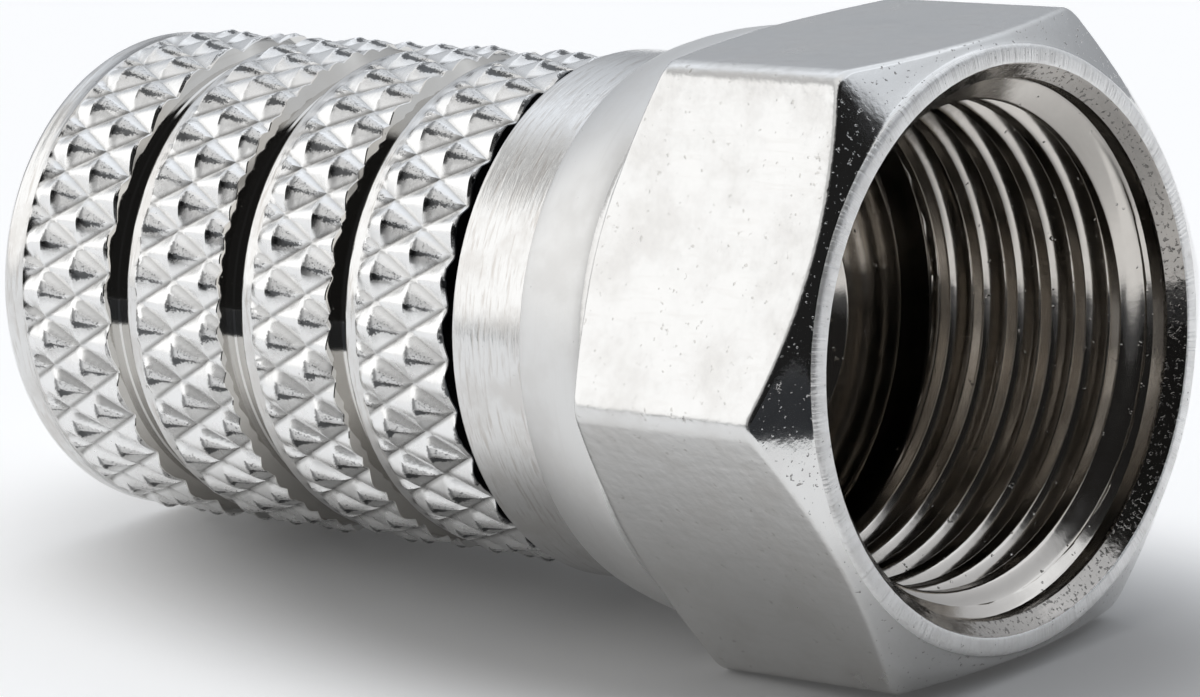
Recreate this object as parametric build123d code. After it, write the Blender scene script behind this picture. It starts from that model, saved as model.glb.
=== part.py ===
from build123d import *
from math import atan2, cos, radians, sin, sqrt, tan
import os

# Twist-on plug for coaxial cable: a diamond-knurled sleeve with a swivelling hexagonal coupling nut.
# It lies on one flat of the nut. The axis is X with the mouth towards +X, and a flat faces up.
# The origin is on the axis where the coupling thread begins. Lengths are in millimetres, angles in degrees.

# Coupling thread, 32 turns to the inch on three eighths of an inch, bored here at its minor diameter
thread_minor_r = 4.33
thread_long = 4.65
mouth_deep = 0.70
relief_deep = 0.47

# Coupling nut, outside: its wall from the thread to the flats makes 11 mm across flats
flat_wall = 1.17
edge_round = 0.50
rim_flat = 0.09
rim_round = 0.24
rim_drop = 0.115
rim_bulge = 0.026
front_cone = 58.0
hex_long = 5.10
rear_cone = 62.0
taper_under = 0.04
taper_long = 1.90
taper_bulge = 0.08
rear_wall = 0.32

# Swivel: the nut's lip runs on the sleeve's neck, between the shoulder and the flared flange
lip_thick = 0.44
flange_thick = 0.41
flange_clear = 0.50
flange_hold = 0.70
swivel_gap = 0.05
end_gap = 0.05

# Sleeve, outside: grooves and bands in order from the collar to the rear
sleeve_wall = 1.11
collar_proud = 0.10
collar_long = 1.85
groove_wide = (0.37, 0.78, 0.97, 0.87)
groove_deep = (0.18, 0.34, 0.37, 0.24)
band_wide = (2.20, 1.93, 2.13, 2.33)
rear_rim_long = 0.74
rear_rim_drop = 0.09
rear_rim_step = 0.02
rear_round = 0.24
rear_bulge = 0.12

# Diamond knurl
knurl_count = 30
knurl_deep = 0.19
knurl_step = 0.885
knurl_lead = 1.335
knurl_turn = -64.9
knurl_top_share = 0.13
knurl_run_out = 0.12

# Sleeve, inside
cable_r = 3.45
cable_mouth = 0.50
cable_cone = 0.60
core_r = 2.45
core_long = 3.20
core_mouth = 0.30

# Radii and stations that follow from these
across_flats = 2 * (thread_minor_r + flat_wall)
rim_inner_r = thread_minor_r + mouth_deep
rim_flat_r = rim_inner_r + rim_flat
rim_outer_r = rim_flat_r + rim_round
relief_r = thread_minor_r + relief_deep
rear_cone_r = across_flats / 2 - taper_under
nut_rear_r = relief_r + rear_wall
corner_r = across_flats / sqrt(3)
flange_r = relief_r - flange_clear
neck_r = flange_r - flange_hold
rim_x = mouth_deep
rear_cone_x = rim_x - hex_long
nut_rear_x = rear_cone_x - taper_long
lip_x = nut_rear_x + lip_thick
flange_x = lip_x + end_gap
face_x = flange_x + flange_thick
shoulder_x = nut_rear_x - end_gap
collar_rear_x = shoulder_x - collar_long
knurl_root_r = cable_r + sleeve_wall
knurl_tip_r = knurl_root_r + knurl_deep
collar_r = knurl_tip_r + collar_proud
knurl_apex_x = collar_rear_x - knurl_lead
plain_edge_r = knurl_tip_r - rear_rim_drop


def turned(points, bulges=()):
    # Solid of revolution about X from a closed outline of (x, r). A side with a bulge is an arc that proud of its line.
    sides = []
    for index, here in enumerate(points):
        there = points[(index + 1) % len(points)]
        if index in dict(bulges):
            along = there[0] - here[0]
            out = there[1] - here[1]
            proud = dict(bulges)[index] / sqrt(along ** 2 + out ** 2)
            middle = ((here[0] + there[0]) / 2 + proud * out, (here[1] + there[1]) / 2 - proud * along)
            sides.append(ThreePointArc(here, middle, there))
        else:
            sides.append(Line(here, there))
    return revolve(make_face(sides), Axis.X)


def lattice(i, j, r):
    # Point of the knurl's lattice, whose steps are half a diamond round the axis and half a diamond along it.
    turn = radians(knurl_turn + (i % (2 * knurl_count)) * 180.0 / knurl_count)
    return (knurl_apex_x + j * knurl_step, r * sin(turn), r * cos(turn))


def diamond(i, j):
    # The ten triangles of one diamond: a small flat top and four sloping sides of two triangles each.
    corners = ((1, 0), (0, 1), (-1, 0), (0, -1))
    base = [lattice(i + a, j + b, knurl_root_r) for a, b in corners]
    top = [lattice(i + a * knurl_top_share, j + b * knurl_top_share, knurl_tip_r) for a, b in corners]
    triangles = [(top[0], top[1], top[2]), (top[0], top[2], top[3])]
    for side in range(4):
        after = (side + 1) % 4
        triangles.append((top[side], base[side], base[after]))
        triangles.append((top[side], base[after], top[after]))
    return triangles


def clipped(points, x, side):
    # The part of a flat polygon on one side of a plane square to the axis.
    kept = []
    for index, here in enumerate(points):
        there = points[(index + 1) % len(points)]
        here_in = (here[0] - x) * side > 1e-9
        there_in = (there[0] - x) * side > 1e-9
        if here_in:
            kept.append(here)
        if here_in != there_in:
            low, high = sorted((here, there))
            share = (x - low[0]) / (high[0] - low[0])
            kept.append((x, low[1] + share * (high[1] - low[1]), low[2] + share * (high[2] - low[2])))
    return kept


def section(pieces, x):
    # The outline that the cut at x leaves, in order round the axis.
    found = {}
    for piece in pieces:
        for point in piece:
            if point[0] == x:
                found[(round(point[1], 6), round(point[2], 6))] = point
    return sorted(found.values(), key=lambda point: atan2(point[1], point[2]))


def spread(point, x, r):
    # The point moved to another station and radius, at the same turn.
    scale = r / sqrt(point[1] ** 2 + point[2] ** 2)
    return (x, point[1] * scale, point[2] * scale)


def knurled_disc(rear, front, plain_edge):
    # Solid disc with the knurl round it, cut square at its ends. At a plain edge the knurl runs out to a circle.
    cut = rear + knurl_run_out if plain_edge else rear
    first = int((cut - knurl_apex_x) / knurl_step) - 2
    last = int((front - knurl_apex_x) / knurl_step) + 2
    pieces = []
    for j in range(first, last + 1):
        for i in range(j % 2, 2 * knurl_count, 2):
            for triangle in diamond(i, j):
                piece = clipped(triangle, cut, 1)
                piece = clipped(piece, front, -1)
                if len(piece) > 2:
                    pieces.append(piece)
    front_end = section(pieces, front)
    rear_end = section(pieces, cut)
    if plain_edge:
        circle = [spread(point, rear, plain_edge_r) for point in rear_end]
        for index in range(-1, len(circle) - 1):
            pieces.append((circle[index], circle[index + 1], rear_end[index + 1]))
            pieces.append((circle[index], rear_end[index + 1], rear_end[index]))
        rear_end = circle
    faces = [Face(Wire.make_polygon(piece)) for piece in pieces + [front_end, rear_end]]
    return Solid(Shell(faces))


# Nut: a hexagonal bar with rounded edges, turned to the outline of both ends, then bored
hexagon = RegularPolygon(across_flats / 2, 6, major_radius=False)
bar = extrude(Plane.YZ.offset(nut_rear_x) * hexagon, rim_x - nut_rear_x)
bar = fillet(bar.edges().filter_by(Axis.X), edge_round)
front_corner_x = rim_x - rim_drop - (corner_r - rim_outer_r) / tan(radians(front_cone))
rear_corner_x = rear_cone_x + (corner_r - rear_cone_r) / tan(radians(rear_cone))
outline = [
    (rim_x, 0),
    (rim_x, rim_flat_r),
    (rim_x - rim_drop, rim_outer_r),
    (front_corner_x, corner_r),
    (rear_corner_x, corner_r),
    (rear_cone_x, rear_cone_r),
    (nut_rear_x, nut_rear_r),
    (nut_rear_x, 0),
]
bore = [
    (rim_x, 0),
    (rim_x, rim_inner_r),
    (0, thread_minor_r),
    (-thread_long, thread_minor_r),
    (-thread_long - relief_deep, relief_r),
    (lip_x, relief_r),
    (lip_x, neck_r + swivel_gap),
    (nut_rear_x, neck_r + swivel_gap),
    (nut_rear_x, 0),
]
nut = (bar & turned(outline, [(1, rim_bulge), (5, taper_bulge)])) - turned(bore)

# Sleeve: the turned core with the groove floors, the knurled bands on it, then the bore for cable and core
core = [
    (face_x, 0),
    (face_x, flange_r),
    (flange_x, flange_r),
    (flange_x, neck_r),
    (shoulder_x, neck_r),
    (shoulder_x, collar_r),
    (collar_rear_x, collar_r),
]
discs = []
station = collar_rear_x
floor_x = collar_rear_x
for gap, deep, wide in zip(groove_wide, groove_deep, band_wide):
    front = station - gap
    station = front - wide
    middle = (front + station) / 2
    core += [(floor_x, knurl_root_r - deep), (middle, knurl_root_r - deep)]
    discs.append(knurled_disc(station, front, len(discs) == len(band_wide) - 1))
    floor_x = middle
core.append((station, core[-1][1]))
rear_x = station - rear_rim_long
rear_edge_r = plain_edge_r - rear_rim_step
rear_side = len(core)
core += [(station, rear_edge_r), (rear_x, rear_edge_r - rear_round), (rear_x, 0)]
sleeve = turned(core, [(rear_side, rear_bulge)]).fuse(*discs)
core_rear_x = face_x - core_long
hollow = [
    (face_x, 0),
    (face_x, core_r + core_mouth),
    (face_x - core_mouth, core_r),
    (core_rear_x, core_r),
    (core_rear_x - cable_cone, cable_r),
    (rear_x + cable_mouth, cable_r),
    (rear_x, cable_r + cable_mouth),
    (rear_x, 0),
]
sleeve = sleeve - turned(hollow)

os.makedirs("parts", exist_ok=True)
for name, piece in (("sleeve", sleeve), ("nut", nut)):
    export_step(piece.solids()[0], "parts/" + name + ".step")
    print(name, len(piece.solids()), "solid", round(piece.volume, 2), "mm3", piece.bounding_box())
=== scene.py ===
import math
import bpy
import numpy as np
from mathutils import Matrix, Vector


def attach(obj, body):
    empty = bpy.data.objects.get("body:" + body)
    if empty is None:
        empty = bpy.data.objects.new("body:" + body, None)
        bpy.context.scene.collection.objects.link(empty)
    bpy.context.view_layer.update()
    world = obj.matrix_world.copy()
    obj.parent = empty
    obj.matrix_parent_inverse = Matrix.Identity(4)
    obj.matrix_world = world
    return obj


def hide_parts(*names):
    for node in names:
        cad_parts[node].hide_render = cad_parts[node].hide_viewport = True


# Twist-on coaxial plug: a knurled sleeve and a swivelling hexagonal nut, both nickel plated.
# Lengths are in millimetres until a mesh is made. A turn is measured in degrees from straight up towards -Y.
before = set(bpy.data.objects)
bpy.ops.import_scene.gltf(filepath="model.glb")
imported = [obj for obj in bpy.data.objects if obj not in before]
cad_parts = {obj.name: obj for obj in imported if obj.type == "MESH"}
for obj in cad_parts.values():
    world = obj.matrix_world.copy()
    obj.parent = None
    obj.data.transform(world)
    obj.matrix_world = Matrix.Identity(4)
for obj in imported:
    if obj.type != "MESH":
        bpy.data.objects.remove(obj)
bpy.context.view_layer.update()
mm = 0.001
tiny = 1e-9
sharpFrom = 38.0  # edges that bend by more degrees than this stay crisp
cornerShare = 0.45  # a rounded corner takes at most this much of a side
scene = bpy.context.scene
scene.view_settings.view_transform = "Standard"


# Meshes

def roundPoints(x, r, turn):
    # Points on circles about X: x as it is, y = -r times the sine of the turn, z = r times its cosine.
    angle = np.radians(turn)
    x, r, angle = np.broadcast_arrays(x, r, angle)
    return np.stack((x, -r * np.sin(angle), r * np.cos(angle)), axis=-1)


def gridTriangles(first, radius, closed):
    # Two triangles for each cell of rows by columns, columns joined round, split along the lower diagonal.
    rows, columns = radius.shape
    here = first + np.arange(rows * columns).reshape(rows, columns)
    lines = rows if closed else rows - 1
    a = here[:lines]
    b = np.roll(here, -1, axis=0)[:lines]
    c, d = np.roll(b, -1, axis=1), np.roll(a, -1, axis=1)
    below = np.roll(radius, -1, axis=0)[:lines]
    straight = radius[:lines] + np.roll(below, -1, axis=1)
    cross = below + np.roll(radius[:lines], -1, axis=1)
    lower = (straight <= cross)[..., None]
    one = np.where(lower, np.stack((a, b, c), -1), np.stack((a, b, d), -1))
    two = np.where(lower, np.stack((a, c, d), -1), np.stack((b, c, d), -1))
    return np.stack((one, two), axis=2).reshape(-1, 3)


def joinRings(fine, coarse, fineFirst):
    # Fans between a fine ring and a coarse one. Of each share of fine steps, the first half meets one coarse
    # corner and the rest meet the next.
    share = len(fine) // len(coarse)
    half = share // 2
    steps = np.stack([np.roll(fine, -k)[::share] for k in range(share + 1)], axis=1)
    near, far = coarse, np.roll(coarse, -1)
    fans = [(steps[:, k], near if k < half else far, steps[:, k + 1]) for k in range(share)]
    fans.append((steps[:, half], near, far))
    joined = np.concatenate([np.stack(fan, axis=1) for fan in fans])
    return joined if fineFirst else joined[:, ::-1]


def makePiece(name, points, triangles, zones, materials, places=None):
    # A mesh object from arrays: a material number for each triangle and, if given, a flat map of its corners.
    mesh = bpy.data.meshes.new(name)
    mesh.from_pydata((points * mm).tolist(), [], triangles.tolist())
    for material in materials:
        mesh.materials.append(material)
    mesh.polygons.foreach_set("material_index", zones.astype(np.int32))
    if places is not None:
        mesh.uv_layers.new(name="diamond").uv.foreach_set("vector", places.astype(np.float32).ravel())
    mesh.shade_smooth()
    mesh.set_sharp_from_angle(angle=math.radians(sharpFrom))
    mesh.validate()
    piece = bpy.data.objects.new(name, mesh)
    scene.collection.objects.link(piece)
    print(name, len(points), "points", len(triangles), "triangles")
    return piece


def along(start, end, shares):
    # Rows between two profile points, each given as x and r, at these shares of the way.
    return [(start[0] + s * (end[0] - start[0]), start[1] + s * (end[1] - start[1])) for s in shares]


def roundedCorner(before, corner, after, reach, count):
    # Quadratic curve that cuts a corner: it leaves both sides at the reach, or sooner on a short side.
    parts = np.broadcast_arrays(*before, *corner, *after)
    before, corner, after = (np.stack(parts[k:k + 2]) for k in (0, 2, 4))
    ends = []
    for other in (before, after):
        side = other - corner
        length = np.sqrt((side ** 2).sum(axis=0)) + tiny
        ends.append(corner + side / length * np.minimum(reach, cornerShare * length))
    rows = []
    for t in np.linspace(0, 1, count):
        point = (1 - t) ** 2 * ends[0] + 2 * t * (1 - t) * corner + t ** 2 * ends[1]
        rows.append((point[0], point[1]))
    return rows


def zoned(rows, zone):
    # Profile rows marked with the number of their finish.
    return [(x, r, zone) for x, r in rows]


def stackRows(rows, columns):
    # The rows of a grid as arrays: x and r with one line for each row, and the rows' finishes.
    xs = np.stack([np.broadcast_to(np.asarray(row[0], float), (columns,)) for row in rows])
    rs = np.stack([np.broadcast_to(np.asarray(row[1], float), (columns,)) for row in rows])
    return xs, rs, np.array([row[2] for row in rows])


# Shader sums

def addNode(tree, kind, inputs, **settings):
    # One shader node with its properties, and with a link or a value on each input named or numbered here.
    node = tree.nodes.new(kind)
    for key, value in settings.items():
        setattr(node, key, value)
    for key, value in inputs.items():
        if isinstance(value, bpy.types.NodeSocket):
            tree.links.new(value, node.inputs[key])
        else:
            node.inputs[key].default_value = value
    return node


def worked(tree, operation, *terms):
    # One sum on numbers, with values or links as its terms.
    return addNode(tree, "ShaderNodeMath", dict(enumerate(terms)), operation=operation).outputs[0]


def workedWay(tree, operation, *terms):
    # One sum on vectors. A length and a dot product come out as numbers.
    node = addNode(tree, "ShaderNodeVectorMath", dict(enumerate(terms)), operation=operation)
    return node.outputs["Value" if operation in ("LENGTH", "DOT_PRODUCT") else "Vector"]


def ranged(tree, value, low, high, start, end, kind="LINEAR"):
    # A change from start to end while the value goes from low to high, and level outside that.
    inputs = {0: value, 1: low, 2: high, 3: start, 4: end}
    return addNode(tree, "ShaderNodeMapRange", inputs, interpolation_type=kind).outputs[0]


def eased(tree, value, low, high, start=0.0, end=1.0):
    # The same change with an S-shaped course.
    return ranged(tree, value, low, high, start, end, "SMOOTHSTEP")


def blended(tree, share, first, second):
    # A colour between two, each a link or three numbers. A mix has its colours on sockets 6 and 7.
    first, second = ((*colour, 1) if isinstance(colour, tuple) else colour for colour in (first, second))
    return addNode(tree, "ShaderNodeMix", {0: share, 6: first, 7: second}, data_type="RGBA").outputs[2]


def noise(tree, place, scale, detail, rough=0.5):
    # Layered noise from nought to one.
    inputs = {"Vector": place, "Scale": scale, "Detail": detail, "Roughness": rough}
    return addNode(tree, "ShaderNodeTexNoise", inputs).outputs[0]


# Knurl and its marks

knurl = {
    "count": 30, "root": 4.56, "deep": 0.19, "apexX": -9.535, "step": 0.885, "turn": 64.9, "cells": 9,
    "padWide": 0.24, "padSwell": 0.20, "padEdge": 1e-6,
    "flankUp": 1.75, "patchTop": 0.80, "patchFall": 0.52, "patchSoft": 0.04, "patchVary": 0.03,
    "flankLow": 0.90, "ripStart": -0.08, "ripLean": 0.24, "ripLong": 0.78, "ripDeep": 0.26, "ripSpread": 0.24,
    "ripStep": 0.11, "ripLift": 0.1, "ripVary": 0.02, "seed": 11, "drawnLong": 32,
}
marks = {
    "ragged": 0.20, "raggedScale": 23000.0, "raggedDetail": 3.0, "raggedRough": 0.65,
    "broadScale": 1700.0, "broadDetail": 2.0, "broadRange": (0.32, 0.68), "tearWide": (0.08, 0.46),
    "frontEdge": (0.0, 0.05), "frontRagged": 0.3, "tearTop": (0.0, 0.04), "tearEnd": (0.0, 0.1),
    "tearLow": (-0.02, 0.08), "greyWide": 0.50, "patchEdge": (-0.04, 0.08), "patchLow": (-0.02, 0.03),
    "crestEdge": (0.06, 0.14), "crestRagged": 0.4, "crestDark": 0.7,
    "speckEdge": (0.56, 0.64), "speckDark": 0.8,
    "valleyWide": 0.20, "valleySides": (-0.05, 0.05), "valleyFaint": 0.35,
}


def diamondMarks(tree, place):
    # From the place within a diamond and a ragged line: the rough patch above the line, the tear with its
    # painted shade and specks, painted shade at the patch's front edge and below the tear, and along the
    # valleys round the diamond.
    spot = addNode(tree, "ShaderNodeUVMap", {}, uv_map="diamond").outputs[0]
    around, ahead, _ = addNode(tree, "ShaderNodeSeparateXYZ", {"Vector": spot}).outputs
    fine = noise(tree, place, marks["raggedScale"], marks["raggedDetail"], marks["raggedRough"])
    broad = noise(tree, place, marks["broadScale"], marks["broadDetail"])
    ragged = worked(tree, "MULTIPLY_ADD", fine, 2 * marks["ragged"], -marks["ragged"])
    reach = worked(tree, "ADD", worked(tree, "ABSOLUTE", around), worked(tree, "ABSOLUTE", ahead))
    inside = worked(tree, "SUBTRACT", 1.0, reach)
    line = worked(tree, "MULTIPLY_ADD", ahead, knurl["ripLean"], knurl["ripStart"])
    below = worked(tree, "SUBTRACT", around, worked(tree, "ADD", line, ragged))
    left = worked(tree, "MULTIPLY_ADD", ahead, -1.0 / knurl["ripLong"], 1.0)
    front = worked(tree, "MULTIPLY_ADD", ragged, marks["frontRagged"], ahead)
    before = eased(tree, front, *marks["frontEdge"])
    wide = ranged(tree, broad, *marks["broadRange"], *marks["tearWide"])
    under = worked(tree, "SUBTRACT", below, worked(tree, "MULTIPLY", left, wide))
    ending = worked(tree, "MULTIPLY", before, eased(tree, left, *marks["tearEnd"]))
    started = worked(tree, "MULTIPLY", eased(tree, below, *marks["tearTop"]), ending)
    # Painted shade: this mask darkens the colour along the torn line.
    tear = worked(tree, "MULTIPLY", started, eased(tree, under, *marks["tearLow"], 1.0, 0.0))
    # Painted shade on the lower side below the tear.
    grey = worked(tree, "MULTIPLY", started, eased(tree, under, 0.0, marks["greyWide"], 1.0, 0.0))
    level = worked(tree, "MULTIPLY_ADD", ahead, -knurl["patchFall"], knurl["patchTop"])
    over = worked(tree, "SUBTRACT", worked(tree, "MULTIPLY_ADD", inside, knurl["flankUp"], ragged), level)
    upper = eased(tree, below, *marks["patchLow"], 1.0, 0.0)
    patch = worked(tree, "MULTIPLY", eased(tree, over, *marks["patchEdge"]), upper)
    patch = worked(tree, "MULTIPLY", patch, before)
    # Painted shade along the patch's front edge behind the crest, joined with dark specks at random.
    crest = worked(tree, "MULTIPLY_ADD", ragged, marks["crestRagged"], ahead)
    edge = eased(tree, crest, *marks["crestEdge"], marks["crestDark"], 0.0)
    specks = worked(tree, "MAXIMUM", eased(tree, fine, *marks["speckEdge"], 0.0, marks["speckDark"]), edge)
    dark = worked(tree, "MAXIMUM", tear, worked(tree, "MULTIPLY", specks, patch))
    # Painted shade along the valleys round the diamond, fainter where around and ahead differ in sign.
    sides = worked(tree, "MULTIPLY", around, ahead)
    crossed = eased(tree, sides, *marks["valleySides"], marks["valleyFaint"], 1.0)
    valley = worked(tree, "MULTIPLY", eased(tree, inside, 0.0, marks["valleyWide"], 1.0, 0.0), crossed)
    return patch, dark, grey, valley


# Finishes

nickel = (0.725, 0.722, 0.712)
darkNickel = (0.40, 0.39, 0.375)
brownNickel = (0.47, 0.435, 0.40)
plate = {
    "lineDetail": 3.0, "lineRough": 0.6, "cloudDetail": 4.0, "cloudRough": 0.65, "cloudRange": (0.3, 0.7),
    "grainDetail": 2.0, "pitDetail": 2.5, "pitRough": 0.55, "pitSoft": 0.09,
    "stainLines": (0.30, 0.52), "stainClouds": (0.42, 0.66),
}
plainLook = {
    "colour": nickel, "cloudScale": 900.0, "grainScale": 9000.0,
    "pitScale": 9000.0, "pitDepth": 0.002, "pitTintAndShade": darkNickel,
    "stain": 0.10, "cloudStain": 0.12, "stainColour": brownNickel,
}
turnedLook = {
    **plainLook, "roughness": (0.12, 0.22), "grainScale": 14000.0, "grainDepth": 0.0006,
    "lineScale": (12000.0, 1300.0, 1300.0), "lineDepth": 0.008, "pitFrom": 0.72,
    "stain": 0.60, "cloudStain": 0.35,
}
grooveLook = {
    **plainLook, "colour": (0.70, 0.69, 0.67), "roughness": (0.03, 0.07), "grainDepth": 0.0003,
    "lineScale": (9000.0, 250.0, 250.0), "lineDepth": 0.0005, "pitFrom": 0.72, "stain": 0.2,
}
# A near-black plate for the first groove, behind the collar.
darkGrooveLook = {
    **plainLook, "colour": (0.05, 0.055, 0.06), "roughness": (0.25, 0.40), "cloudScale": 2500.0,
    "grainScale": 12000.0, "grainDepth": 0.002, "lineScale": (9000.0, 900.0, 900.0), "lineDepth": 0.001,
    "pitFrom": 0.70, "pitTintAndShade": brownNickel, "stain": 0.2,
}
# The knurl's colour is paler than the nickel elsewhere: painted light on the knurl.
knurlLook = {
    **plainLook, "colour": (0.85, 0.848, 0.84), "roughness": (0.20, 0.32), "cloudScale": 1500.0,
    "grainDepth": 0.0034, "lineScale": (17000.0, 900.0, 900.0), "lineDepth": 0.008,
    "pitFrom": 0.73, "pitDepth": 0.003, "stain": 0.07, "cloudStain": 0.07,
    "diamonds": True, "patchRoughness": 0.48, "tearShadeColour": (0.10, 0.102, 0.104),
    "valleyShadeColour": (0.38, 0.375, 0.365),
    "patchShade": 0.26, "greyShade": 0.52, "shadeColour": (0.45, 0.443, 0.435),
}
flatsLook = {
    **plainLook, "roughness": (0.14, 0.28), "cloudScale": 700.0, "grainScale": 4200.0, "grainDepth": 0.010,
    "lineScale": (1200.0, 7000.0, 7000.0), "lineDepth": 0.0016,
    "pitScale": 6800.0, "pitFrom": 0.645, "pitTintAndShade": (0.58, 0.57, 0.55), "cloudStain": 0.20,
}
satinLook = {
    **plainLook, "roughness": (0.36, 0.46), "grainScale": 12000.0, "grainDepth": 0.0016,
    "lineScale": (7000.0, 250.0, 250.0), "lineDepth": 0.0014,
    "pitFrom": 0.73, "pitDepth": 0.003, "stain": 0.08,
}
chamferLook = {
    **plainLook, "roughness": (0.07, 0.13), "grainDepth": 0.0016,
    "lineScale": (3000.0, 500.0, 500.0), "lineDepth": 0.001,
    "pitScale": 11000.0, "pitFrom": 0.64, "pitDepth": 0.006,
}
# The rim's colour is paler than the nickel elsewhere: painted light on the rim. Its roughness and grain are
# the finish.
rimLook = {
    **plainLook, "colour": (0.93, 0.925, 0.915), "roughness": (0.46, 0.60), "cloudScale": 2000.0,
    "grainScale": 15000.0, "grainDepth": 0.006,
    "lineScale": (0.0, 1.0, 1.0), "spokes": 75.0, "lineDepth": 0.030,
    "pitScale": 12000.0, "pitFrom": 0.66, "pitDepth": 0.006, "stain": 0.12,
}
# The mouth's colour is far darker than the nickel elsewhere: painted shade in the countersink.
mouthLook = {
    **plainLook, "colour": (0.38, 0.36, 0.335), "roughness": (0.08, 0.18), "cloudScale": 1800.0,
    "grainScale": 7000.0, "grainDepth": 0.004, "lineScale": (9000.0, 500.0, 500.0), "lineDepth": 0.002,
    "pitScale": 13000.0, "pitFrom": 0.58, "pitDepth": 0.004, "pitTintAndShade": (0.20, 0.19, 0.178), "stain": 0.25,
}
insideLook = {
    **plainLook, "colour": (0.63, 0.597, 0.553), "roughness": (0.11, 0.19), "cloudScale": 1500.0,
    "grainScale": 6000.0, "grainDepth": 0.0012, "lineScale": (3000.0, 250.0, 250.0), "lineDepth": 0.0008,
    "pitScale": 5200.0, "pitFrom": 0.675, "pitDepth": 0.010, "stain": 0.25,
}


def platedMetal(name, look):
    # Nickel plate: lines left by the tool with stain in them, grain, small ragged pits and a cloudy gloss.
    # The pits' colour is painted shade, except for the brown pits in the near-black groove.
    # The lines are noise stretched by lineScale, or, with spokes, noise on the way outwards from the axis.
    material = bpy.data.materials.new(name)
    material.use_nodes = True
    tree = material.node_tree
    shader = tree.nodes["Principled BSDF"]
    shader.inputs["Metallic"].default_value = 1.0
    place = addNode(tree, "ShaderNodeTexCoord", {}).outputs["Object"]
    stretched = workedWay(tree, "MULTIPLY", place, look["lineScale"])
    if "spokes" in look:
        outward = workedWay(tree, "NORMALIZE", stretched)
        stretched = workedWay(tree, "MULTIPLY", outward, (look["spokes"],) * 3)
    lines = noise(tree, stretched, 1.0, plate["lineDetail"], plate["lineRough"])
    cloud = noise(tree, place, look["cloudScale"], plate["cloudDetail"], plate["cloudRough"])
    grain = noise(tree, place, look["grainScale"], plate["grainDetail"])
    spots = noise(tree, place, look["pitScale"], plate["pitDetail"], plate["pitRough"])
    clean = eased(tree, spots, look["pitFrom"], look["pitFrom"] + plate["pitSoft"], 1.0, 0.0)
    gloss = ranged(tree, cloud, *plate["cloudRange"], *look["roughness"])
    lineStain = eased(tree, lines, *plate["stainLines"], look["stain"], 0.0)
    cloudStain = eased(tree, cloud, *plate["stainClouds"], 0.0, look["cloudStain"])
    stained = worked(tree, "MAXIMUM", lineStain, cloudStain)
    colour = blended(tree, stained, look["colour"], look["stainColour"])
    # Painted shade in the pits on the pale plates; a brown tint in the near-black groove.
    colour = blended(tree, clean, look["pitTintAndShade"], colour)
    if "diamonds" in look:
        patch, dark, grey, valley = diamondMarks(tree, place)
        gloss = addNode(tree, "ShaderNodeMix", {0: patch, 2: gloss, 3: look["patchRoughness"]}).outputs[0]
        # Painted shade: the patch and the grey below the tear are darkened towards the shade colour.
        patchShade = worked(tree, "MULTIPLY", patch, look["patchShade"])
        greyShade = worked(tree, "MULTIPLY", grey, look["greyShade"])
        colour = blended(tree, worked(tree, "MAXIMUM", patchShade, greyShade), colour, look["shadeColour"])
        # Painted shade along the valleys.
        colour = blended(tree, valley, colour, look["valleyShadeColour"])
        # Painted shade in the tear and at the patch's front edge, with the dark specks.
        colour = blended(tree, dark, colour, look["tearShadeColour"])
        lines = worked(tree, "MULTIPLY", lines, patch)
    tree.links.new(colour, shader.inputs["Base Color"])
    tree.links.new(gloss, shader.inputs["Roughness"])
    bump = None
    for height, reach in ((lines, "lineDepth"), (grain, "grainDepth"), (clean, "pitDepth")):
        inputs = {"Height": height, "Strength": 1.0, "Distance": look[reach] * mm}
        if bump:
            inputs["Normal"] = bump
        bump = addNode(tree, "ShaderNodeBump", inputs).outputs[0]
    tree.links.new(bump, shader.inputs["Normal"])
    return material


turnedPlate = platedMetal("turned_nickel", turnedLook)
groovePlate = platedMetal("groove_nickel", grooveLook)
darkGroovePlate = platedMetal("dark_groove_nickel", darkGrooveLook)
knurlPlate = platedMetal("knurled_nickel", knurlLook)
flatsPlate = platedMetal("flats_nickel", flatsLook)
satinPlate = platedMetal("taper_nickel", satinLook)
chamferPlate = platedMetal("chamfer_nickel", chamferLook)
rimPlate = platedMetal("rim_nickel", rimLook)
mouthPlate = platedMetal("mouth_nickel", mouthLook)
insidePlate = platedMetal("inside_nickel", insideLook)
print("finishes made")


# Sleeve

sleeve = {
    "collar": (-6.35, -8.20, 4.85), "collarRound": 0.05, "collarFace": 0.35, "collarStep": 0.02,
    "bands": ((-8.57, -10.77), (-11.55, -13.48), (-14.45, -16.58), (-17.45, -19.78)),
    "bandEdge": 0.02, "bandEdgeDrop": 0.012, "bandFirst": 0.05, "bandLast": 0.02,
    "grooveFloors": (4.38, 4.22, 4.19, 4.32), "floorSeat": 0.03, "collarSeat": (0.02, 0.05),
    "land": 4.58, "landWide": 0.36, "landRound": 0.06, "runOut": 0.12, "runOutShares": (0.35, 0.70),
    "plainEdge": 4.66, "rimStart": 4.64, "rimStep": 0.03, "rimBack": 0.05, "rimEnd": (-20.52, 4.40),
    "rimBulge": (0.72, 0.03), "rimCurve": 0.5, "rimRound": 0.06,
    "mouth": 3.95, "mouthRound": 0.05, "cable": 3.45, "cableEnd": -9.20,
    "threadPitch": 1.5, "threadDeep": 0.26, "threadCurve": 1.5, "threadRows": 70, "threadEnds": (0.1, 0.05),
    "threadFade": (0.1, 1.2), "core": 2.45, "coreEnd": -8.60, "coreMouth": 0.30, "coreRound": 0.04,
    "face": -5.40, "flange": (-5.81, 4.30), "flangeRound": 0.06, "flangeRear": 0.04,
    "neck": 3.60, "neckSeat": (0.03, 0.05), "shoulder": 4.2, "boreShare": 5,
}
turnedZone, knurlZone, boreZone, grooveZone, darkGrooveZone = range(5)
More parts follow.
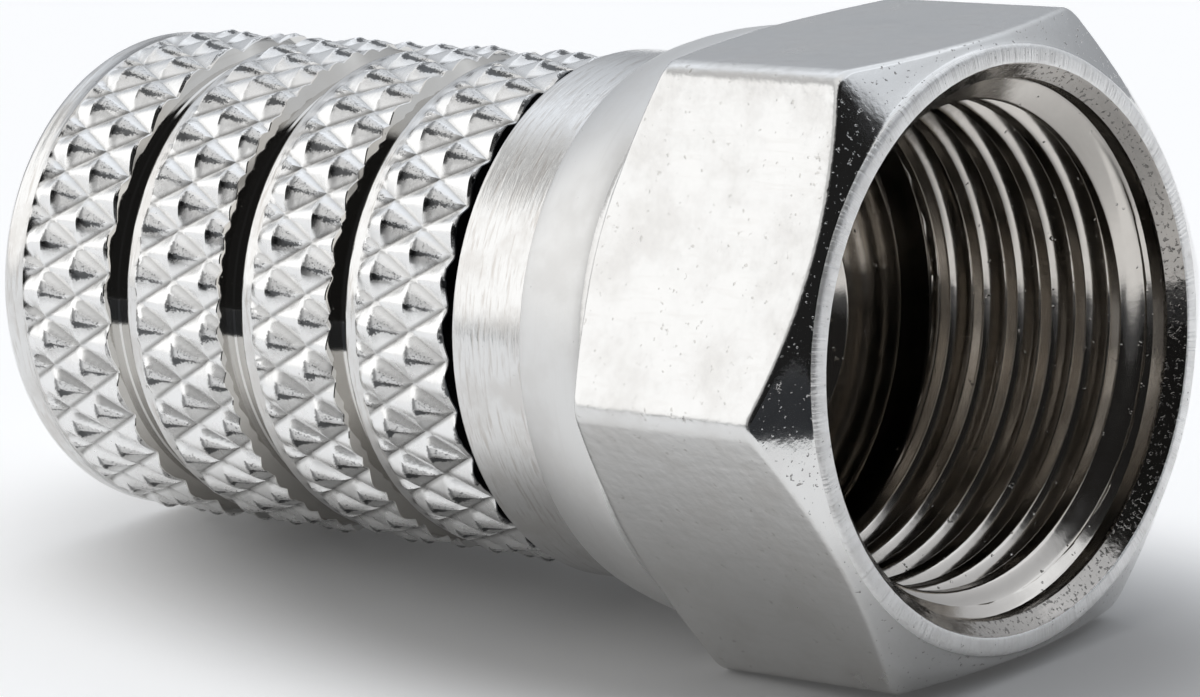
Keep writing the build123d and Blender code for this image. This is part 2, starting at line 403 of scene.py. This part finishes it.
knurlDraws = np.random.default_rng(knurl["seed"]).normal(size=(2 * knurl["count"], knurl["drawnLong"], 2))


def softMin(a, b, soft):
    # The lower of two heights, with the corner between them rounded over the given softness.
    return (a + b - np.sqrt((a - b) ** 2 + soft ** 2)) / 2


def roundedSlope(a, reach):
    # The size of a number, with its sharp corner at nought replaced by a parabola within the reach.
    return np.where(np.abs(a) < reach, a ** 2 / (2 * reach) + reach / 2, np.abs(a))


def diamondPlace(x, turn):
    # The place within the nearest diamond and its numbers. Diamonds sit at half steps, where the two numbers
    # add up to an even one.
    p = (turn - knurl["turn"]) * knurl["count"] / 180.0
    q = (x - knurl["apexX"]) / knurl["step"]
    p, q = np.broadcast_arrays(p, q)
    s, t = np.round((p + q) / 2), np.round((p - q) / 2)
    i, j = s + t, s - t
    return p - i, q - j, i, j


def knurlRadius(x, turn):
    # Behind its crest a diamond is a swelling pad. Before it, a patch of the old surface stands above a torn
    # lower side. Each diamond has its own small draws for the patch's level and the tear's place.
    a, b, i, j = diamondPlace(x, turn)
    own = knurlDraws[i.astype(int) % (2 * knurl["count"]), j.astype(int) % knurl["drawnLong"]]
    inside = np.clip(1 - np.abs(a) - np.abs(b), 0, 1)
    rise = np.clip((1 - roundedSlope(a, knurl["padWide"]) - np.abs(b)) / (1 - knurl["padWide"] / 2), 0, 1)
    pad = rise * (1 + knurl["padSwell"] * (1 - rise))
    patch = knurl["patchTop"] - knurl["patchFall"] * b + knurl["patchVary"] * own[..., 0]
    upper = softMin(knurl["flankUp"] * inside, patch, knurl["patchSoft"])
    below = a - knurl["ripStart"] - knurl["ripLean"] * b + knurl["ripVary"] * own[..., 1]
    left = np.clip(1 - b / knurl["ripLong"], 0, 1)
    lower = knurl["flankLow"] * inside - knurl["ripDeep"] * left * np.exp(-(below / knurl["ripSpread"]) ** 2)
    share = np.clip(below / knurl["ripStep"] + knurl["ripLift"], 0, 1)
    front = upper + share * (lower - upper)
    height = np.where(b < knurl["padEdge"], pad, front)
    return knurl["root"] + knurl["deep"] * np.clip(height, 0, 1)


def diamondMap(triangles, x, turns):
    # For each corner of a triangle, the place within the diamond that holds the triangle's middle.
    p = turns[triangles % len(turns)]
    p = p + 360.0 * np.round((p[:, :1] - p) / 360.0)
    xs = x.ravel()[triangles]
    a, b, _, _ = diamondPlace(xs.mean(axis=1), p.mean(axis=1))
    offA = (p - p.mean(axis=1, keepdims=True)) * knurl["count"] / 180.0
    offB = (xs - xs.mean(axis=1, keepdims=True)) / knurl["step"]
    return np.stack((a[:, None] + offA, b[:, None] + offB), axis=-1)


def bandRows(front, rear, floor, last, turns):
    # One knurled band from its front wall back: the wall, the rows of the knurl's lattice, then the rows that
    # run out to a circle. They lie inside the last band and behind the others.
    top = knurlRadius(front - sleeve["bandEdge"], turns)
    level = sleeve["plainEdge"] if last else sleeve["land"]
    cut = rear + sleeve["runOut"] if last else rear
    end = cut - sleeve["runOut"]
    pace = knurl["step"] / knurl["cells"]
    firstStep = math.floor((front - sleeve["bandFirst"] - knurl["apexX"]) / pace)
    lastStep = math.ceil((cut + sleeve["bandLast"] - knurl["apexX"]) / pace)
    stations = knurl["apexX"] + pace * np.arange(firstStep, lastStep - 1, -1)
    knurled = [(front - sleeve["bandEdge"], top)]
    knurled += [(x, knurlRadius(x, turns)) for x in stations]
    for share in sleeve["runOutShares"]:
        x = cut + share * (end - cut)
        knurled.append((x, knurlRadius(x, turns) * (1 - share) + level * share))
    wall = [(front, (floor + top) / 2), (front, top - sleeve["bandEdgeDrop"])]
    return wall, knurled, end


def sleeveOutside(turns):
    # Rows from the collar's front face back over collar, grooves and bands to the rear rim.
    frontX, rearX, collarR = sleeve["collar"]
    edge, land, seat = sleeve["collarRound"], sleeve["land"], sleeve["floorSeat"]
    faceR = collarR - sleeve["collarFace"]
    rows = zoned([(frontX, faceR), (frontX, collarR - edge - sleeve["collarStep"])], turnedZone)
    rows += zoned(roundedCorner((frontX, faceR), (frontX, collarR), (rearX, collarR), edge, 4), turnedZone)
    rows += zoned(along((frontX, collarR), (rearX, collarR), (0.06, 0.5, 0.94)), turnedZone)
    rows += zoned(roundedCorner((frontX, collarR), (rearX, collarR), (rearX, faceR), edge, 4), turnedZone)
    wallX = rearX
    for number, (front, rear) in enumerate(sleeve["bands"]):
        floor = sleeve["grooveFloors"][number]
        zone = grooveZone if number else darkGrooveZone
        if number:
            landEnd = wallX - sleeve["landWide"]
            foot = (landEnd - (land - floor), floor)
            start = (wallX - sleeve["runOut"], land)
            rows += zoned(roundedCorner(start, (landEnd, land), foot, sleeve["landRound"], 4), turnedZone)
        else:
            back, up = sleeve["collarSeat"]
            foot = (wallX - back, floor)
            rows += zoned([(wallX, floor + up)], zone)
        rows += zoned([foot, (front + seat, floor), (front, floor + seat)], zone)
        last = number == len(sleeve["bands"]) - 1
        wall, knurled, end = bandRows(front, rear, floor, last, turns)
        rows += zoned(wall, zone) + zoned(knurled, knurlZone)
        if not last:
            rows += zoned([(end, land)], turnedZone)
        wallX = rear
    rimStart = sleeve["rimStart"]
    endX, endR = sleeve["rimEnd"]
    rows += zoned([(wallX, sleeve["plainEdge"]), (wallX - sleeve["rimStep"], rimStart)], turnedZone)
    share, proud = sleeve["rimBulge"]
    bulge = (wallX + (endX - wallX) * share, rimStart + proud)
    start = (wallX - sleeve["rimBack"], rimStart)
    rows += zoned(roundedCorner(start, bulge, (endX, endR), sleeve["rimCurve"], 8), turnedZone)
    mouthEdge = (endX, sleeve["mouth"])
    rows += zoned(roundedCorner(bulge, (endX, endR), mouthEdge, sleeve["rimRound"], 4), turnedZone)
    return rows


def sleeveBore(turns):
    # Rows from the rear mouth forwards through cable bore and core hole, then back over flange and neck.
    # The cable thread is a helix of raised cosines that fades out towards the bore's end.
    endX, endR = sleeve["rimEnd"]
    mouth, cable, cableEnd = sleeve["mouth"], sleeve["cable"], sleeve["cableEnd"]
    cone = (endX + mouth - cable, cable)
    rows = zoned(roundedCorner((endX, endR), (endX, mouth), cone, sleeve["mouthRound"], 3), boreZone)
    threadFirst, threadLast = sleeve["threadEnds"]
    x = np.linspace(endX + threadFirst, cableEnd - threadLast, sleeve["threadRows"])
    helix = x[:, None] / sleeve["threadPitch"] - turns / 360.0
    groove = 0.5 + 0.5 * np.cos(2 * np.pi * helix)
    fadeEnd, fadeLong = sleeve["threadFade"]
    fade = np.clip((cableEnd - fadeEnd - x) / fadeLong, 0, 1)[:, None]
    plain = np.maximum(cable, mouth - (x - endX))[:, None]
    bored = np.maximum(plain, cable + sleeve["threadDeep"] * fade * groove ** sleeve["threadCurve"])
    rows += zoned(zip(x, bored), boreZone)
    core, coreEnd, face, lead = sleeve["core"], sleeve["coreEnd"], sleeve["face"], sleeve["coreMouth"]
    leadStart, leadEnd = (face - lead, core), (face, core + lead)
    rows += zoned(along((cableEnd, cable), (coreEnd, core), (0.0, 0.33, 0.66, 1.0)), boreZone)
    rows += zoned(along((coreEnd, core), leadStart, (0.1, 0.5, 0.95)), boreZone)
    rows += zoned(along(leadStart, leadEnd, (0.0, 0.5)), boreZone)
    flangeX, flangeR = sleeve["flange"]
    frontX, neck = sleeve["collar"][0], sleeve["neck"]
    back, up = sleeve["neckSeat"]
    rows += zoned(roundedCorner(leadStart, leadEnd, (face, flangeR), sleeve["coreRound"], 3), boreZone)
    flangeFront, flangeRear = (face, flangeR), (flangeX, flangeR)
    rows += zoned(roundedCorner(leadEnd, flangeFront, flangeRear, sleeve["flangeRound"], 4), boreZone)
    neckFront = (flangeX, neck)
    rows += zoned(roundedCorner(flangeFront, flangeRear, neckFront, sleeve["flangeRear"], 3), turnedZone)
    rows += zoned([(flangeX, neck + up), (flangeX - back, neck)], turnedZone)
    rows += zoned([(frontX + back, neck), (frontX, neck + up), (frontX, sleeve["shoulder"])], turnedZone)
    return rows


def makeSleeve():
    # Grids of profile rows by turns: a fine one outside and a coarse one inside, joined by two rings of fans.
    around = knurl["count"] * knurl["cells"]
    fineTurns = knurl["turn"] + np.arange(2 * around) * 180.0 / around
    coarseTurns = fineTurns[::sleeve["boreShare"]]
    fineX, fineR, fineZones = stackRows(sleeveOutside(fineTurns), len(fineTurns))
    coarseX, coarseR, coarseZones = stackRows(sleeveBore(coarseTurns), len(coarseTurns))
    finePoints = roundPoints(fineX, fineR, fineTurns).reshape(-1, 3)
    coarsePoints = roundPoints(coarseX, coarseR, coarseTurns).reshape(-1, 3)
    start = len(finePoints)
    ring = np.arange(len(fineTurns))
    coarseRing = start + np.arange(len(coarseTurns))
    lastFine = ring + start - len(fineTurns)
    lastCoarse = coarseRing + coarseR.size - len(coarseTurns)
    rearJoin = joinRings(lastFine, coarseRing, True)
    frontJoin = joinRings(ring, lastCoarse, False)
    grids = (gridTriangles(0, fineR, False), gridTriangles(start, coarseR, False))
    triangles = np.concatenate((*grids, rearJoin, frontJoin))
    onBand = (fineZones[:-1] == knurlZone) & (fineZones[1:] == knurlZone)
    deeper = np.maximum(fineZones[:-1], fineZones[1:])
    cellZones = np.where(onBand, knurlZone, np.where(deeper >= grooveZone, deeper, turnedZone))
    zoneOf = np.concatenate((
        np.repeat(cellZones, 2 * len(fineTurns)),
        np.repeat(coarseZones[:-1], 2 * len(coarseTurns)),
        np.full(len(rearJoin) + len(frontJoin), turnedZone),
    ))
    places = np.zeros((len(triangles), 3, 2))
    knurled = np.flatnonzero(zoneOf == knurlZone)
    places[knurled] = diamondMap(triangles[knurled], fineX, fineTurns)
    points = np.concatenate((finePoints, coarsePoints))
    plates = (turnedPlate, knurlPlate, insidePlate, groovePlate, darkGroovePlate)
    return makePiece("knurled_sleeve", points, triangles, zoneOf, plates, places)


sleevePiece = makeSleeve()
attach(sleevePiece, "sleeve")
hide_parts("sleeve")


# Nut

nut = {
    "half": 5.5, "edgeRound": 0.503, "flatColumns": 15, "edgeColumns": 11, "edgeSoft": 0.09,
    "flatRows": (0.035, 0.2, 0.4, 0.6, 0.8, 0.965),
    "rimX": 0.70, "rimInner": 5.03, "rimFlat": 5.12, "rimOuter": 5.36, "rimDrop": 0.115,
    "rimShoulder": (0.02, 0.06), "rimLean": 0.2, "rimInnerRound": 0.03, "rimRound": 0.2, "rimEdge": 0.04,
    "frontCone": 58.0, "rearCone": 62.0, "rearConeX": -4.40, "rearConeR": 5.46,
    "taperBulge": 0.08, "taperRound": 0.10, "taperRows": (0.08, 0.96, 9), "taperLast": (0.6, 5.3),
    "rearX": -6.30, "rearR": 5.12, "rearRound": 0.05, "lip": 3.65, "lipX": -5.86, "lipRound": 0.04,
    "relief": 4.80, "reliefSeat": (0.03, 0.05),
}
thread = {
    "pitch": 0.79375, "minor": 4.33, "major": 4.70, "long": 4.65, "crest": 0.27, "root": 1.0, "phase": 0.765,
    "leadR": 4.75, "leadX": 0.10, "leadSlope": 1.085, "plainFrom": 0.34,
    "rowsPerPitch": 40, "ends": (0.02, 0.06),
}
flatsZone, rimZone, threadZone, taperZone, mouthZone, chamferZone = range(6)


def hexColumns():
    # Turns of the columns and the hexagon's radius there: even steps along each flat, then round each arc.
    half, bend = nut["half"], nut["edgeRound"]
    reach = (half - bend) * math.tan(math.radians(30))
    flat = np.linspace(-reach, reach, nut["flatColumns"])
    arc = np.radians(np.linspace(-30, 30, nut["edgeColumns"] + 2)[1:-1])
    centre = (half - bend) / math.cos(math.radians(30))
    across, up = centre + bend * np.cos(arc), bend * np.sin(arc)
    turns = np.concatenate((np.degrees(np.arctan2(flat, half)), 30 + np.degrees(np.arctan2(up, across))))
    radii = np.concatenate((np.hypot(flat, half), np.hypot(across, up)))
    sector = 60.0 * np.arange(6)[:, None]
    return (sector + turns).ravel(), np.tile(radii, 6)


def threadedBore(x, turn):
    # Radius of the coupling thread: a right-handed helix whose sides follow an S-curve from crest to root.
    # Where the lead-in, the run-out into the relief or the countersink is larger, it takes over.
    place = x / thread["pitch"] - turn / 360.0 + thread["phase"]
    away = np.abs(place - np.floor(place) - 0.5) * 2
    share = np.clip((away - thread["crest"]) / (thread["root"] - thread["crest"]), 0, 1)
    share = share * share * (3 - 2 * share)
    cut = thread["minor"] + (thread["major"] - thread["minor"]) * share
    leadIn = thread["leadR"] - thread["leadSlope"] * np.clip(thread["leadX"] - x, 0, None)
    plain = np.maximum(leadIn, thread["minor"] + np.clip(-thread["long"] - x, 0, None))
    return np.maximum(np.maximum(cut, plain), thread["minor"] + x)


def nutOutside(hexR):
    # Rows from the mouth's edge over rim, chamfer, flat and taper, and round the lip. Both ends of a flat are
    # where a cone meets the hexagon, so their x goes with the hexagon's radius.
    rimX, rearX = nut["rimX"], nut["rearX"]
    outerX = rimX - nut["rimDrop"]
    rimPoint = (outerX, nut["rimOuter"])
    rearPoint = (nut["rearConeX"], nut["rearConeR"])
    frontEdge = (outerX - (hexR - nut["rimOuter"]) / math.tan(math.radians(nut["frontCone"])), hexR)
    rearEdge = (nut["rearConeX"] + (hexR - nut["rearConeR"]) / math.tan(math.radians(nut["rearCone"])), hexR)
    soft, lean = nut["edgeSoft"], nut["rimLean"]
    inner, flatEnd = (rimX, nut["rimInner"]), (rimX, nut["rimFlat"])
    below = (rimX - lean, nut["rimInner"] - lean)
    shoulder = (rimX - nut["rimShoulder"][0], nut["rimOuter"] - nut["rimShoulder"][1])
    rows = zoned(roundedCorner(below, inner, flatEnd, nut["rimInnerRound"], 3), rimZone)
    rows += zoned(roundedCorner(flatEnd, shoulder, rimPoint, nut["rimRound"], 6), rimZone)
    rows += zoned(roundedCorner(shoulder, rimPoint, frontEdge, nut["rimEdge"], 3), chamferZone)
    rows += zoned(along(rimPoint, frontEdge, (0.5,)), chamferZone)
    edge = roundedCorner(rimPoint, frontEdge, rearEdge, soft, 6)
    rows += zoned(edge[:2], chamferZone) + zoned(edge[2:], flatsZone)
    rows += zoned(along(frontEdge, rearEdge, nut["flatRows"]), flatsZone)
    rows += zoned(roundedCorner(frontEdge, rearEdge, rearPoint, soft, 6), flatsZone)
    rows += zoned(along(rearEdge, rearPoint, (0.5,)), flatsZone)
    rear, lipRear, lipFront = (rearX, nut["rearR"]), (rearX, nut["lip"]), (nut["lipX"], nut["lip"])
    rows += zoned(roundedCorner(rearEdge, rearPoint, rear, nut["taperRound"], 5), flatsZone)
    shares = np.linspace(*nut["taperRows"])
    swell = 4 * nut["taperBulge"] * shares * (1 - shares)
    rows += zoned([(x, r + s) for (x, r), s in zip(along(rearPoint, rear, shares), swell)], taperZone)
    taperLast = (rearX + nut["taperLast"][0], nut["taperLast"][1])
    rows += zoned(roundedCorner(taperLast, rear, lipRear, nut["rearRound"], 4), taperZone)
    rows += zoned(roundedCorner(rear, lipRear, lipFront, nut["lipRound"], 3), taperZone)
    reliefRear = (nut["lipX"], nut["relief"])
    rows += zoned(roundedCorner(lipRear, lipFront, reliefRear, nut["lipRound"], 3), threadZone)
    return rows


def nutBore(turns):
    # Rows from the lip forwards through the relief, the thread and the countersink, which closes on the rim.
    back, up = nut["reliefSeat"]
    reliefX = -thread["long"] - (nut["relief"] - thread["minor"])
    rows = zoned([(nut["lipX"], nut["relief"] - up), (nut["lipX"] + back, nut["relief"])], threadZone)
    rows += zoned([(reliefX - back, nut["relief"])], threadZone)
    first, last = thread["ends"]
    count = int((nut["rimX"] - last - reliefX) / thread["pitch"] * thread["rowsPerPitch"])
    for x in np.linspace(reliefX + first, nut["rimX"] - last, count):
        zone = threadZone if x < thread["plainFrom"] else mouthZone
        rows.append((x, threadedBore(x, turns), zone))
    return rows


def makeNut():
    # One closed grid of profile rows by turns, down the outside and back through the bore.
    turns, hexR = hexColumns()
    xs, rs, zones = stackRows(nutOutside(hexR) + nutBore(turns), len(turns))
    points = roundPoints(xs, rs, turns).reshape(-1, 3)
    zoneOf = np.repeat(zones, 2 * len(turns))
    plates = (flatsPlate, rimPlate, insidePlate, satinPlate, mouthPlate, chamferPlate)
    return makePiece("hexagonal_nut", points, gridTriangles(0, rs, True), zoneOf, plates)


nutPiece = makeNut()
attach(nutPiece, "nut")
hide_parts("nut")


# Floor, tent and camera

stand = {
    "touchNut": (-4.35, -5.50), "touchSleeve": (-19.70, -4.75), "floorReach": 3000.0, "floorSides": 96,
    "floorColour": 0.92, "floorGlow": 0.34, "paintedShadowColour": 0.56, "paintedShadowGlow": 0.12,
    "paintedShadowFrom": 4.5, "paintedShadowTo": 9.5, "paintedShadowMiddle": -7.0, "paintedShadowLong": 0.50,
    "matStart": 27.5, "matReach": 2400.0, "matHalf": 1000.0, "matLift": 0.05,
    "matColour": (0.02, 0.022, 0.026), "matRoughness": 0.9,
}
lens = {
    "azimuth": 43.500, "elevation": 12.459, "roll": -5.467, "distance": 107.511, "target": (-8.3, 0.0, 0.0),
    "right": -0.563, "up": -0.663, "focalPixels": 5846.70, "framePixels": 1200, "sensor": 36.0,
    "clipMetres": (0.005, 20.0),
}
tent = {
    "strength": 1.36, "darkWay": (0.80, -0.55, 0.20), "darkEdge": (0.53, 0.60), "dark": 0.012,
    "left": (
        (0.0, 0.45), (0.04, 0.50), (0.12, 1.0), (0.62, 1.0),
        (0.68, 0.40), (0.74, 0.40), (0.80, 0.68), (1.0, 0.75),
    ),
    "front": ((0.0, 0.22), (0.5, 0.34), (0.8, 0.60), (1.0, 0.75)),
    "frontWay": (0.97, -0.24, 0.0), "frontEdge": (-0.42, -0.12),
    "back": ((0.0, 0.30), (0.20, 0.35), (0.45, 0.52), (0.64, 0.66), (0.71, 0.95), (0.78, 0.80), (1.0, 0.75)),
    "backWay": (0.0, 1.0, 0.0), "backEdge": (-0.10, 0.25), "backTint": (0.94, 0.98, 1.04),
}


def floorHeight(x):
    # The plane that the plug rests on: a straight line in x through both touching points, level across.
    (nutX, nutZ), (sleeveX, sleeveZ) = stand["touchNut"], stand["touchSleeve"]
    return nutZ + (x - nutX) * (sleeveZ - nutZ) / (sleeveX - nutX)


def plainMesh(name, corners, material):
    # A flat polygon given by its corners, in millimetres.
    mesh = bpy.data.meshes.new(name)
    mesh.from_pydata((np.asarray(corners) * mm).tolist(), [], [list(range(len(corners)))])
    mesh.materials.append(material)
    made = bpy.data.objects.new(name, mesh)
    scene.collection.objects.link(made)
    return made


def makeFloor():
    # A wide white disc with a painted shadow: grey in an ellipse under the plug, white further out. It glows
    # for rays that see it, less inside the painted shadow.
    material = bpy.data.materials.new("white_table")
    material.use_nodes = True
    tree = material.node_tree
    tree.nodes.clear()
    path = addNode(tree, "ShaderNodeLightPath", {}).outputs
    seen = worked(tree, "MAXIMUM", path["Is Camera Ray"], path["Is Glossy Ray"])
    seen = worked(tree, "MAXIMUM", seen, path["Is Transmission Ray"])
    place = addNode(tree, "ShaderNodeTexCoord", {}).outputs["Object"]
    middle = (stand["paintedShadowMiddle"] * mm, 0.0, floorHeight(stand["paintedShadowMiddle"]) * mm)
    away = workedWay(tree, "SUBTRACT", place, middle)
    away = workedWay(tree, "MULTIPLY", away, (stand["paintedShadowLong"], 1.0, 1.0))
    # Painted shadow on the floor: darker colour and weaker glow in the ellipse under the plug.
    outsideShadow = eased(tree, workedWay(tree, "LENGTH", away), stand["paintedShadowFrom"] * mm, stand["paintedShadowTo"] * mm)
    glowOutsideShadow = worked(tree, "MULTIPLY_ADD", outsideShadow, 1.0 - stand["paintedShadowGlow"], stand["paintedShadowGlow"])
    glow = worked(tree, "MULTIPLY", worked(tree, "MULTIPLY", seen, glowOutsideShadow), stand["floorGlow"])
    pale = blended(tree, outsideShadow, (stand["paintedShadowColour"],) * 3, (stand["floorColour"],) * 3)
    diffuse = addNode(tree, "ShaderNodeBsdfDiffuse", {"Color": pale}).outputs[0]
    light = addNode(tree, "ShaderNodeEmission", {"Strength": glow}).outputs[0]
    both = addNode(tree, "ShaderNodeAddShader", {0: diffuse, 1: light}).outputs[0]
    addNode(tree, "ShaderNodeOutputMaterial", {"Surface": both})
    turn = np.linspace(0, 2 * np.pi, stand["floorSides"], endpoint=False)
    x, y = stand["floorReach"] * np.cos(turn), stand["floorReach"] * np.sin(turn)
    plainMesh("floor", np.stack((x, y, floorHeight(x)), axis=1), material)


def makeMat():
    # A dark mat on the table in front of the plug, out of the picture. Only the polished metal sees it.
    material = bpy.data.materials.new("dark_mat")
    material.use_nodes = True
    shader = material.node_tree.nodes["Principled BSDF"]
    shader.inputs["Base Color"].default_value = (*stand["matColour"], 1)
    shader.inputs["Roughness"].default_value = stand["matRoughness"]
    angle = math.radians(lens["azimuth"])
    ahead = np.array((math.sin(angle), -math.cos(angle)))
    aside = np.array((ahead[1], -ahead[0]))
    near, half = stand["matStart"], stand["matHalf"]
    far = near + stand["matReach"]
    corners = ((near, half), (near, -half), (far, -half), (far, half))
    ground = np.array([d * ahead + s * aside for d, s in corners])
    ground[:, 0] += lens["target"][0]
    height = floorHeight(ground[:, 0]) + stand["matLift"]
    mat = plainMesh("dark_mat", np.column_stack((ground, height)), material)
    mat.visible_camera = False
    mat.visible_diffuse = False
    mat.visible_shadow = False


def makeTent():
    # Light by direction: gradients in height for left, front and back, and a dark opening round the camera.
    world = bpy.data.worlds.new("light_tent")
    scene.world = world
    world.use_nodes = True
    tree = world.node_tree
    way = addNode(tree, "ShaderNodeTexCoord", {}).outputs["Generated"]
    height = addNode(tree, "ShaderNodeSeparateXYZ", {"Vector": way}).outputs["Z"]

    def gradient(stops, tint=(1.0, 1.0, 1.0)):
        # Levels at heights, each times the tint. All the stops are placed before any is coloured.
        ramp = addNode(tree, "ShaderNodeValToRGB", {"Fac": height})
        elements = ramp.color_ramp.elements
        while len(elements) < len(stops):
            elements.new(0.5)
        for element, (place, _) in zip(elements, stops):
            element.position = place
        for element, (_, level) in zip(elements, stops):
            element.color = (*(min(1.0, level * part) for part in tint), 1)
        return ramp.outputs["Color"]

    def towards(direction, edge):
        # How far a direction lies on this side, from nought to one across the edge.
        return eased(tree, workedWay(tree, "DOT_PRODUCT", way, direction), *edge)

    atBack = towards(tent["backWay"], tent["backEdge"])
    opening = towards(tuple(Vector(tent["darkWay"]).normalized()), tent["darkEdge"])
    atFront = towards(tent["frontWay"], tent["frontEdge"])
    near = blended(tree, atFront, gradient(tent["left"]), gradient(tent["front"]))
    sides = blended(tree, atBack, near, gradient(tent["back"], tent["backTint"]))
    whole = blended(tree, opening, sides, (tent["dark"],) * 3)
    background = tree.nodes["Background"]
    tree.links.new(whole, background.inputs["Color"])
    background.inputs["Strength"].default_value = tent["strength"]


def makeCamera():
    # The camera looks along its azimuth and elevation, rolled, at a point moved right and up from the target.
    azimuth, elevation, roll = (math.radians(lens[k]) for k in ("azimuth", "elevation", "roll"))
    level = math.cos(elevation)
    back = Vector((math.sin(azimuth) * level, -math.cos(azimuth) * level, math.sin(elevation)))
    flatRight = Vector((0, 0, 1)).cross(back).normalized()
    flatUp = back.cross(flatRight)
    right = math.cos(roll) * flatRight + math.sin(roll) * flatUp
    up = -math.sin(roll) * flatRight + math.cos(roll) * flatUp
    place = Vector(lens["target"]) + lens["right"] * right + lens["up"] * up + lens["distance"] * back
    data = bpy.data.cameras.new("camera")
    data.sensor_width = lens["sensor"]
    data.lens = lens["sensor"] * lens["focalPixels"] / lens["framePixels"]
    data.clip_start, data.clip_end = lens["clipMetres"]
    camera = bpy.data.objects.new("camera", data)
    camera.matrix_world = Matrix.Translation(place * mm) @ Matrix((right, up, back)).transposed().to_4x4()
    scene.collection.objects.link(camera)
    scene.camera = camera


makeFloor()
makeMat()
makeTent()
makeCamera()
print("floor, tent and camera made")
